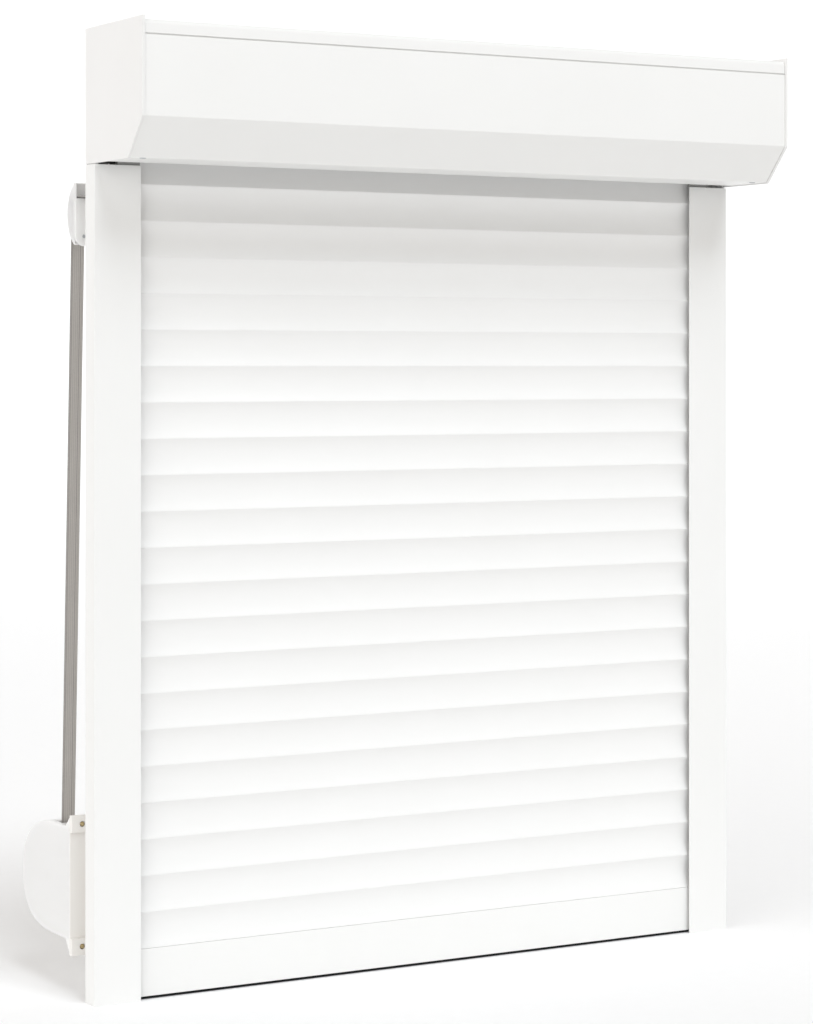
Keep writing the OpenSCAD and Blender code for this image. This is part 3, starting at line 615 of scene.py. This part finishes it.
BAR_WALL = 1.4 * MM
BAR_RIB_H = 8 * MM
BAR_EDGE_R = 0.7 * MM
BAR_INNER_R = 0.5 * MM
GROOVE_NECK_HALF = 1.4 * MM
GROOVE_HEAD_HALF = 2.5 * MM
GROOVE_HEAD_H = 2.4 * MM
low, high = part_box("bottom_bar")
middle_y = (low.y + high.y) / 2
bar_top = high.z - HOOK_RISE
neck_front = middle_y - GROOVE_NECK_HALF
neck_rear = middle_y + GROOVE_NECK_HALF
head_front = middle_y - GROOVE_HEAD_HALF
head_rear = middle_y + GROOVE_HEAD_HALF
groove_z = low.z + BAR_WALL
groove_top = groove_z + GROOVE_HEAD_H
bar_outline = rounded([(neck_front, low.z, 0), (low.y, low.z, BAR_EDGE_R),
                       (low.y, bar_top, BAR_EDGE_R), *hook(low.y + HOOK_SETBACK, bar_top),
                       (high.y, bar_top, BAR_EDGE_R), (high.y, low.z, BAR_EDGE_R),
                       (neck_rear, low.z, 0), (neck_rear, groove_z, 0),
                       (head_rear, groove_z, 0), (head_rear, groove_top, 0),
                       (head_front, groove_top, 0), (head_front, groove_z, 0),
                       (neck_front, groove_z, 0)])
hollow_low = Vector((low.y + BAR_WALL, low.z + BAR_RIB_H))
hollow_high = Vector((high.y - BAR_WALL, bar_top - BAR_WALL))
bar_hollow = rounded([(*hollow_low, BAR_INNER_R), (hollow_low.x, hollow_high.y, BAR_INNER_R),
                      (*hollow_high, BAR_INNER_R), (hollow_high.x, hollow_low.y, BAR_INNER_R)])
bottom_bar = extruded("bottom_bar_profile", bar_outline, low.x, high.x, [bar_hollow])
stands_for(bottom_bar, panel_enamel, "bottom_bar")


# Bottom seal: an extruded black rubber strip whose head is drawn into the bar's groove. Its foot
# closes the curtain against the sill.

SEAL_NECK_HALF = 1.2 * MM
SEAL_HEAD_HALF = 2.3 * MM
SEAL_HEAD_H = 2 * MM
SEAL_FOOT_R = 1.3 * MM
SEAL_SHOULDER_R = 0.3 * MM
SEAL_HEAD_R = 0.4 * MM
bar_foot = low.z
low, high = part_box("bottom_seal")
neck_front = middle_y - SEAL_NECK_HALF
neck_rear = middle_y + SEAL_NECK_HALF
head_front = middle_y - SEAL_HEAD_HALF
head_rear = middle_y + SEAL_HEAD_HALF
head_z = high.z - SEAL_HEAD_H
seal_outline = rounded([(low.y, low.z, SEAL_FOOT_R), (high.y, low.z, SEAL_FOOT_R),
                        (high.y, bar_foot, SEAL_SHOULDER_R), (neck_rear, bar_foot, 0),
                        (neck_rear, head_z, 0), (head_rear, head_z, SEAL_HEAD_R),
                        (head_rear, high.z, SEAL_HEAD_R), (head_front, high.z, SEAL_HEAD_R),
                        (head_front, head_z, SEAL_HEAD_R), (neck_front, head_z, 0),
                        (neck_front, bar_foot, 0), (low.y, bar_foot, SEAL_SHOULDER_R)])
bottom_seal = extruded("bottom_seal_strip", seal_outline, low.x, high.x)
stands_for(bottom_seal, rubber, "bottom_seal")


# Strap outlet: a grey moulding in the notch of the box's rear wall. The strap leaves the box over
# its upper bar, drops behind the rail, and turns into the wall under its lower bar.

OUTLET_EDGE_R = 0.3 * MM
outlet = clean_copy("strap_outlet_moulding", "strap_outlet")
stands_for(eased(outlet, OUTLET_EDGE_R), grey_moulding, "strap_outlet")


# Strap: flat woven webbing with ribs along its length. It runs off the coil on the pulley, round the
# outlet's bars and the guide's roller, and down to the coil in the winder. Both coils are wound of
# the same webbing.

STRAP_T = 1.2 * MM
RIBS = 7
RIB_STEPS = 6
RIB_DEPTH = 0.16 * MM
RIB_FULLNESS = 0.6
SELVEDGE_T_SHARE = 0.45
SELVEDGE_RISE = 8
EDGE_BAND_AT = 0.07
EDGE_BAND_HALF = 0.075
DARK_LINE_AT = 0.715
DARK_LINE_HALF = 0.03
PICK_LENGTH = 1.1 * MM
ROLLER_GAP = 0.3 * MM
OUTLET_GAP = 0.1 * MM
OUTLET_BAR_R = 3 * MM
UPPER_BAR_DROP = 9.4 * MM
WRAP_STEPS = 14
COIL_STEP = math.radians(7.5)
COIL_T = 0.9 * STRAP_T
PULLEY_HUB_R = 42 * MM
DRUM_HUB_R = 16 * MM


def webbing(name, path, left, right, thickness):
    """A ribbed strap along a path in the Y and Z plane. Each point keeps how far along and across
    the strap it lies, for the weave."""
    count = RIBS * RIB_STEPS
    upper = []
    for k in range(count + 1):
        share = k / count
        rib = abs(math.sin(math.pi * RIBS * share)) ** RIB_FULLNESS
        edge = min(1.0, SELVEDGE_RISE * min(share, 1 - share) + SELVEDGE_T_SHARE)
        upper.append((share, (thickness / 2 - RIB_DEPTH * (1 - rib)) * edge))
    section = upper + [(share, -height) for share, height in reversed(upper)]
    bm = bmesh.new()
    along = bm.verts.layers.float.new("along")
    across = bm.verts.layers.float.new("across")
    rings = []
    length = 0.0
    for i, point in enumerate(path):
        if i:
            length += (point - path[i - 1]).length
        normal = sideways(path, i)
        ring = []
        for share, height in section:
            vert = bm.verts.new((left + (right - left) * share, *(point + normal * height)))
            vert[along] = length
            vert[across] = share
            ring.append(vert)
        rings.append(ring)
    for near, far in zip(rings, rings[1:]):
        for k in range(len(section)):
            bm.faces.new([near[k - 1], near[k], far[k], far[k - 1]])
    for ring in (rings[0], rings[-1]):
        for k in range(count):
            bm.faces.new([ring[k], ring[k + 1], ring[-2 - k], ring[-1 - k]])
    return new_piece(name, bm)


def wheel(node):
    """The middle and the radius of a round node, in the Y and Z plane."""
    low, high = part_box(node)
    return Vector(((low.y + high.y) / 2, (low.z + high.z) / 2)), (high.z - low.z) / 2


def turned(angle):
    """The direction at an angle."""
    return Vector((math.cos(angle), math.sin(angle)))


def run_angle(a, radius_a, side_a, b, radius_b, side_b):
    """The direction of the straight run between two wheels. Side is 1 for a wheel on its left."""
    away = b - a
    step = side_b * radius_b - side_a * radius_a
    return math.atan2(away.y, away.x) - math.atan2(step, math.sqrt(away.length_squared - step ** 2))


def wrap(centre, radius, start, end):
    """Points of the strap where it lies round a wheel or a bar."""
    angles = [start + (end - start) * k / WRAP_STEPS for k in range(WRAP_STEPS + 1)]
    return [centre + radius * turned(angle) for angle in angles]


def webbing_detail(place):
    """Ribs and crossing picks, with painted shade where they dip, darker along the left edge and along one
    woven line.
    """
    along = place.node("ShaderNodeAttribute", {"attribute_name": "along"}, {}, 2)
    across = place.node("ShaderNodeAttribute", {"attribute_name": "across"}, {}, 2)
    ribs = across * RIBS
    stagger = ribs.maths("FLOOR", ribs) * math.pi
    pick = along.maths("SINE", along * (math.tau / PICK_LENGTH) + stagger)
    rib = ribs.maths("ABSOLUTE", ribs.maths("SINE", ribs * math.pi))
    fuzz = noise(place, 420, 4)
    wear = noise(place, 24, 3)
    edge_band = across.maths("COMPARE", across, EDGE_BAND_AT, EDGE_BAND_HALF)
    dark_line = across.maths("COMPARE", across, DARK_LINE_AT, DARK_LINE_HALF)
    # The rib and pick terms darken the colour in the grooves and dips of the weave: painted shade.
    tone = 0.30 + 0.34 * rib + 0.14 * pick + 0.16 * fuzz + 0.10 * wear - 0.30 * edge_band - 0.30 * dark_line
    return {"Base Color": shade(tone, (0.22, 0.21, 0.20), (0.57, 0.54, 0.51)),
            "Roughness": 0.80 + 0.12 * fuzz,
            "Normal": relief(0.5 + 0.3 * pick + 0.3 * fuzz, 0.12 * MM)}


def coil(name, node, hub_r):
    """The strap wound in a spiral that fills a coil's ring round its hub."""
    centre, outer = wheel(node)
    layers = round((outer - hub_r) / STRAP_T)
    sweep = math.tau * (layers - 1)
    steps = round(sweep / COIL_STEP)
    path = [centre + (hub_r + STRAP_T * (0.5 + (layers - 1) * k / steps)) * turned(sweep * k / steps)
            for k in range(steps + 1)]
    low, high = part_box(node)
    return webbing(name, path, low.x, high.x, COIL_T)


yarn_gloss = {"Specular IOR Level": 0.2, "Sheen Weight": 0.25, "Sheen Roughness": 0.5}
webbing_cloth = finish("ribbed_webbing", yarn_gloss, webbing_detail)
pulley, pulley_r = wheel("pulley_coil")
roller, roller_r = wheel("guide_roller")
drum, drum_r = wheel("winder_coil")
upper_bar = Vector((outlet_low.y + OUTLET_BAR_R, outlet_high.z - UPPER_BAR_DROP))
lower_bar = Vector((outlet_high.y - OUTLET_BAR_R, outlet_low.z + OUTLET_BAR_R))
pulley_r += ROLLER_GAP + STRAP_T / 2
bar_r = OUTLET_BAR_R + OUTLET_GAP + STRAP_T / 2
roller_r += ROLLER_GAP + STRAP_T / 2
drum_r += ROLLER_GAP + STRAP_T / 2
first = run_angle(pulley, pulley_r, 1, upper_bar, bar_r, -1)
drop = run_angle(upper_bar, bar_r, -1, lower_bar, bar_r, 1)
level = run_angle(lower_bar, bar_r, 1, roller, roller_r, -1)
last = run_angle(roller, roller_r, -1, drum, drum_r, 1)
quarter = math.pi / 2
strap_path = [pulley + pulley_r * turned(first - quarter),
              *wrap(upper_bar, bar_r, first + quarter, drop + quarter),
              *wrap(lower_bar, bar_r, drop - quarter, level - quarter),
              *wrap(roller, roller_r, level + quarter, last + quarter),
              drum + drum_r * turned(last - quarter)]
strap_low, strap_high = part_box("strap")
strap = webbing("strap_webbing", strap_path, strap_low.x, strap_high.x, STRAP_T)
stands_for(strap, webbing_cloth, "strap")
stands_for(coil("pulley_coil_webbing", "pulley_coil", PULLEY_HUB_R), webbing_cloth, "pulley_coil")
stands_for(coil("winder_coil_webbing", "winder_coil", DRUM_HUB_R), webbing_cloth, "winder_coil")


# Strap guide: a moulded plate on the room face with a bowed cover snapped on it. A plastic roller on
# a steel pin turns the strap downwards inside the cover, and one screw holds the plate.

GUIDE_SHOULDER_R = 1.1 * MM
GUIDE_PLATE_EDGE_R = 0.4 * MM
GUIDE_COVER_EDGE_R = 0.2 * MM
GUIDE_HEAD_H = 2 * MM
GUIDE_SCREW_R = 1.8 * MM
SIDE_REACH = 0.01 * MM
TO_THE_ROOM = Vector((0, 1, 0))
guide_low, guide_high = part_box("guide_cover")


def on_guide_sides(point):
    """On one of the cover's two flat sides, away from the edge that lies on the plate."""
    on_side = min(abs(point.x - guide_low.x), abs(point.x - guide_high.x)) < SIDE_REACH
    return on_side and point.y > guide_low.y - SIDE_REACH


white_moulding = moulding("white_moulding", (0.925, 0.907, 0.890), (0.945, 0.930, 0.916), milky=1.0)
guide_plate = clean_copy("guide_plate_moulding", "guide_plate")
stands_for(eased(guide_plate, GUIDE_PLATE_EDGE_R), white_moulding, "guide_plate")
guide_cover = clean_copy("guide_cover_moulding", "guide_cover", on_guide_sides, GUIDE_SHOULDER_R)
stands_for(eased(guide_cover, GUIDE_COVER_EDGE_R), white_moulding, "guide_cover")
coated(white_moulding, "guide_roller")
coated(ground_steel, "guide_pin")
low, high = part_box("guide_screw")
seat = Vector(((low.x + high.x) / 2, high.y - GUIDE_HEAD_H, (low.z + high.z) / 2))
guide_screw = cross_screws("guide_pan_screw", [seat], TO_THE_ROOM, (high.z - low.z) / 2,
                           GUIDE_HEAD_H, GUIDE_SCREW_R, seat.y - low.y)
stands_for(guide_screw, zinc, "guide_screw")


# Strap winder: a deep moulded housing on a plate with two ears, screwed to the room face with brass
# screws. Inside it a spiral spring turns a drum on a steel axle and keeps the strap wound.

HOUSING_SHOULDER_R = 2 * MM
HOUSING_EDGE_R = 0.3 * MM
WINDER_PLATE_EDGE_R = 0.4 * MM
BRASS_HEAD_H = 2 * MM
BRASS_SCREW_R = 2.4 * MM
winder_low, winder_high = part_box("winder_housing")


def on_winder_sides(point):
    """On one of the housing's two flat sides."""
    return min(abs(point.x - winder_low.x), abs(point.x - winder_high.x)) < SIDE_REACH


def spring_detail(place):
    blue = noise(place, 35, 3)
    marks = noise(stretched(place, 40, 1, 1), 160, 2)
    return {"Base Color": shade(blue, (0.10, 0.11, 0.14), (0.24, 0.25, 0.28)),
            "Roughness": 0.24 + 0.14 * marks,
            "Normal": relief(marks, 0.008 * MM)}


def brass_detail(place):
    stain = noise(place, 130, 4)
    marks = noise(place, 900, 3)
    return {"Base Color": shade(stain, (0.46, 0.36, 0.18), (0.70, 0.58, 0.36)),
            "Roughness": 0.30 + 0.20 * stain,
            "Normal": relief(marks, 0.02 * MM)}


cream_moulding = moulding("cream_moulding", (0.880, 0.855, 0.815), (0.910, 0.890, 0.860))
winder_plate = clean_copy("winder_plate_moulding", "winder_plate")
stands_for(eased(winder_plate, WINDER_PLATE_EDGE_R), cream_moulding, "winder_plate")
winder_housing = clean_copy("winder_housing_moulding", "winder_housing", on_winder_sides,
                            HOUSING_SHOULDER_R)
stands_for(eased(winder_housing, HOUSING_EDGE_R), white_moulding, "winder_housing")
coated(white_moulding, "winder_drum")
coated(finish("spring_steel", {"Metallic": 1.0}, spring_detail), "winder_spring")
coated(ground_steel, "winder_axle")
low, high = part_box("winder_screws")
brass_head_r = (high.x - low.x) / 2
brass_seats = [Vector(((low.x + high.x) / 2, high.y - BRASS_HEAD_H, z))
               for z in (low.z + brass_head_r, high.z - brass_head_r)]
winder_screws = cross_screws("winder_brass_screws", brass_seats, TO_THE_ROOM, brass_head_r,
                             BRASS_HEAD_H, BRASS_SCREW_R, brass_seats[0].y - low.y)
stands_for(winder_screws, finish("brass", {"Metallic": 1.0}, brass_detail), "winder_screws")


# Studio: a round pale floor that sweeps up into a far backdrop behind and on the right, a cool key
# light from the front and above, wide fills from the left and from behind, and a warm even light from
# all round. The camera stands to the left of the shutter, a little above its middle.

FLOOR_R = 14.0
SWEEP_R = 2.0
SWEEP_STEP = 6
BACKDROP_R = 10.0
BACKDROP_H = 5.0
BACKDROP_FROM = -15
BACKDROP_TO = 140
ROUND_STEP = 5
WARM_TINT = (1.06, 1.0, 0.94)
COOL_TINT = (0.95, 1.0, 1.05)
EVEN_STRENGTH = 0.38
KEY_LIGHT = {"azimuth": 0, "height": 53, "spread": 30, "strength": 1.42, "tint": COOL_TINT}
SIDE_LIGHT = {"azimuth": 68, "height": 20, "spread": 60, "strength": 1.28}
BACK_LIGHT = {"azimuth": 180, "height": 45, "spread": 60, "strength": 0.4}
CAMERA_PLACE = (-1.54815, -2.63612, 0.64500)
CAMERA_TURN = math.radians(30.151)
SENSOR_MM = 36
LENS_MM = 99.41
IMAGE_ROWS = 1024
HORIZON_ROW = 365


def paper_detail(place):
    fibre = noise(place, 60, 3)
    return {"Base Color": shade(fibre, (0.925, 0.925, 0.925), (0.945, 0.945, 0.945)),
            "Roughness": 0.85 + 0.1 * fibre}


sweep_middle = Vector((BACKDROP_R - SWEEP_R, SWEEP_R))
sweep = [sweep_middle + SWEEP_R * turned(math.radians(a)) for a in range(-90, 1, SWEEP_STEP)]
sweep.append(Vector((BACKDROP_R, BACKDROP_H)))
bm = bmesh.new()
floor_edge = [FLOOR_R * turned(math.radians(a)) for a in range(0, 360, ROUND_STEP)]
bm.faces.new([bm.verts.new((*point, 0)) for point in floor_edge])
edges = []
for a in range(BACKDROP_FROM, BACKDROP_TO + 1, ROUND_STEP):
    outward = turned(math.radians(a))
    edges.append([bm.verts.new((*(reach * outward), height)) for reach, height in sweep])
for near, far in zip(edges, edges[1:]):
    for k in range(len(sweep) - 1):
        bm.faces.new([near[k], far[k], far[k + 1], near[k + 1]])
floor = new_piece("studio_floor", bm)
floor.data.materials.append(finish("pale_paper", {}, paper_detail))

scene = bpy.context.scene
scene.view_settings.view_transform = "Standard"
world = bpy.data.worlds.new("even_light")
scene.world = world
world.use_nodes = True
even_light = world.node_tree.nodes["Background"].inputs
even_light["Color"].default_value = (*WARM_TINT, 1)
even_light["Strength"].default_value = EVEN_STRENGTH


def soft_light(name, azimuth, height, spread, strength, tint=(1, 1, 1)):
    """A wide even light. Azimuth runs from the front to the left, in degrees like the other angles."""
    lamp = bpy.data.lights.new(name, "SUN")
    lamp.angle = math.radians(spread)
    lamp.energy = strength
    lamp.color = tint
    source = bpy.data.objects.new(name, lamp)
    source.rotation_euler = (math.radians(90 - height), 0, math.radians(-azimuth))
    scene.collection.objects.link(source)


soft_light("key_light", **KEY_LIGHT)
soft_light("side_light", **SIDE_LIGHT)
soft_light("back_light", **BACK_LIGHT)

lens = bpy.data.cameras.new("photo_camera")
lens.sensor_width = SENSOR_MM
lens.lens = LENS_MM
lens.shift_y = (HORIZON_ROW - IMAGE_ROWS / 2) / IMAGE_ROWS
camera = bpy.data.objects.new("photo_camera", lens)
camera.location = CAMERA_PLACE
camera.rotation_euler = (math.radians(90), 0, -CAMERA_TURN)
scene.collection.objects.link(camera)
scene.camera = camera
